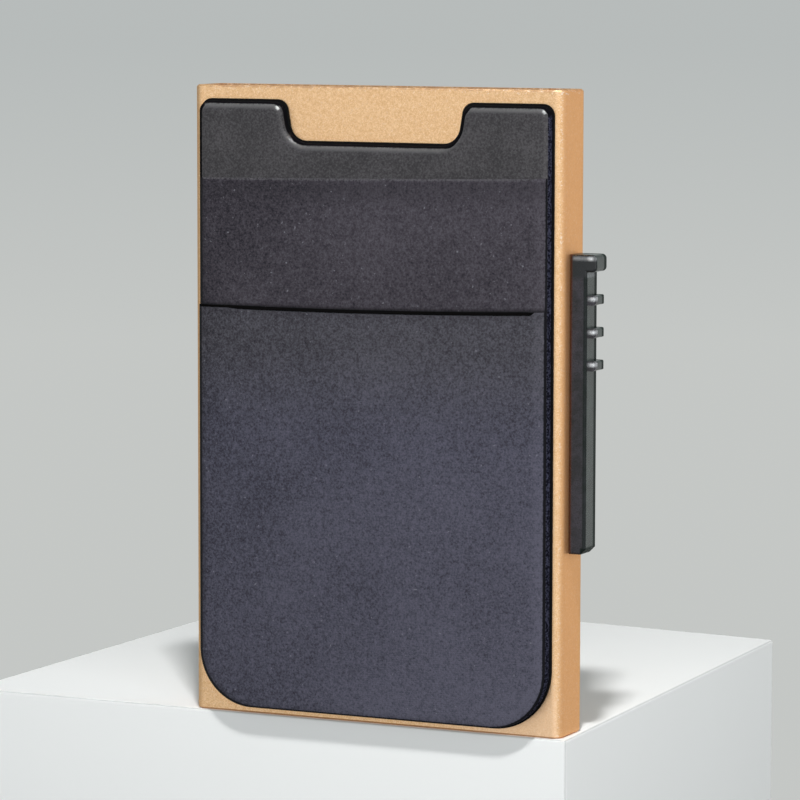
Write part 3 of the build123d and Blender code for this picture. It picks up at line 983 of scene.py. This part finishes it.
def knit(name, dark, light, hem_width, hem_shade_and_highlight, shadow=None):
    """Stretch knit with loops, nap, lint and a hem; shadow: where another pocket darkens it."""
    material, shader, _ = finish(
        name, Specular_IOR_Level=0.2, Sheen_Weight=0.06, Sheen_Roughness=0.5
    )
    cut = read(shader, "cut", "Vector")
    below, beside, edge = [read(shader, key) for key in ("below", "beside", "edge")]
    loops = rows(cut, "X", 0.42) * rows(cut, "Z", 0.34)
    fuzz = cut.noise(0.34, 4.0, 0.75)
    blotch = cut.noise(1.1, 2.0, 0.6)
    cloud = cut.noise(16.0, 3.0, 0.5)
    lint = cut.noise(0.55, 1.0, 0.5).step(0.735, 0.80)
    across, _, height = axes(cut)
    # Painted light and shade: paler towards the right and the bottom, a painted highlight beside
    # the right weld, darker near the left edge.
    right_ridge_highlight = beside.step(0.7, 0.9) * edge.band(0.2, 0.5, 1.0, 2.6)
    lit = 0.045 * (across.step(-25.0, 8.0) + height.step(60.0, 5.0) + right_ridge_highlight)
    lit = lit - 0.035 * across.step(-20.0, -31.0)
    body = (0.66 * fuzz + 0.18 * blotch + 0.16 * cloud + lit).step(0.335, 0.715)
    tone = body.tint(dark, light)
    # Painted shade darkens the turned-over left edge.
    turned = beside.step(-0.6, -0.9)
    tone = (0.45 * turned * edge.step(1.5, 0.1)).tint(tone, SEAM_AND_SHADE_BLACK)
    # The hem: on the front pocket a black edge with a painted shadow of the open mouth, widest
    # where it opens; on the rear pocket a paler line, a painted highlight.
    opened = beside.step(0.945, 0.915) * (0.75 + 0.25 * beside.step(-0.84, -0.76))
    hem = (below - hem_width * (opened + 0.8 * (fuzz - 0.5))).step(0.06, -0.06)
    # Painted shade below each hem; on the rear pocket also a painted shadow just above the front
    # pocket's mouth.
    if shadow:
        under = 0.22 * below.band(0.3, 0.6, 1.5, 5.0)
        under = under + 0.85 * shadow(height, beside).step(0.75, -0.1)
        hem = hem * (0.25 + 0.75 * fuzz.step(0.40, 0.60))
    else:
        under = 0.12 * below.band(0.10, 0.25, 0.6, 2.2)
        greyer = body.tint((0.013, 0.012, 0.016, 1), (0.098, 0.095, 0.114, 1))
        tone = height.step(44.0, 62.0).tint(tone, greyer)
    tone = under.tint(tone, SHADOW_BLACK)
    linted = (0.6 * lint).tint(tone, (0.22, 0.22, 0.25, 1))
    seam = (edge + 0.15 * (fuzz - 0.5) - 0.22 * turned).step(0.30, 0.20)
    feed(
        shader,
        Base_Color=seam.tint(hem.tint(linted, hem_shade_and_highlight), SEAM_AND_SHADE_BLACK),
        Roughness=0.85 + 0.1 * fuzz,
        Normal=(0.15 * loops + 0.85 * fuzz).bump(0.05),
    )
    if not shadow:
        dull(shader, hem, hem_shade_and_highlight)
    return material


def above_front(height, beside):
    """How far a point of the rear pocket is above the front pocket's mouth, in mm."""
    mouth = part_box("front_pocket")[1].z / MM - FRONT_RISE
    curve = FRONT_RISE * (0.5 + 0.5 * beside) - FRONT_SAG * (1 - beside * beside)
    return height - mouth - curve


# The front hem is black, with a painted shadow of the open mouth; the rear hem is a paler painted
# highlight.
front_knit = knit(
    "knit_front",
    dark=(0.014, 0.014, 0.022, 1),
    light=(0.106, 0.104, 0.142, 1),
    hem_width=0.48,
    hem_shade_and_highlight=(0.001, 0.001, 0.001, 1),
)
rear_knit = knit(
    "knit_rear",
    dark=(0.012, 0.010, 0.015, 1),
    light=(0.084, 0.076, 0.092, 1),
    hem_width=0.28,
    hem_shade_and_highlight=(0.094, 0.090, 0.098, 1),
    shadow=above_front,
)
dress(front_knit, front)
dress(rear_knit, rear)
print("knit: loops of 0.42 x 0.34 mm")

# %% Felt finish
felt_black, shader, place = finish("felt_black", Specular_IOR_Level=0.15, Sheen_Weight=0.3)
fibres = place.stretch(1.0, 1.0, 0.5).noise(0.12, 3.0, 0.75)
feed(
    shader,
    Base_Color=fibres.tint((0.006, 0.006, 0.006, 1), (0.05, 0.05, 0.052, 1)),
    Roughness=0.9 + 0.1 * fibres,
    Normal=fibres.bump(0.08),
)
dress(felt_black, *felt_pieces)
print("felt: fibres of 0.12 mm")

# %% [markdown]
# ## The soft pieces take the solids' places
#
# Every soft piece stands in for one measured solid, which is hidden, and moves with the case.

for piece, node, material_slot in (
    (board, "pouch_board", "pouch_board"),
    (rear, "rear_pocket", "pouch_cloth"),
    (front, "front_pocket", "pouch_cloth"),
    (felt_pieces[0], "felt_front", "black_felt"),
    (felt_pieces[1], "felt_back", "black_felt"),
):
    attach(piece, "case")
    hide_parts(node)
for piece, node in ((rear, "rear_pocket"), (front, "front_pocket")):
    low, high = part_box(node)

# %% [markdown]
#
# The dressed object must not have grown. Both boxes are kept, and how far each of their sides
# has grown is printed.

# %% Print the growth
sizes = {"cad": [list(c) for c in cad_box], "visual": [list(c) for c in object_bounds()]}
print("growth in mm:", [
    [round((v - c) / MM, 2) for v, c in zip(*pair)] for pair in zip(sizes["visual"], sizes["cad"])
])
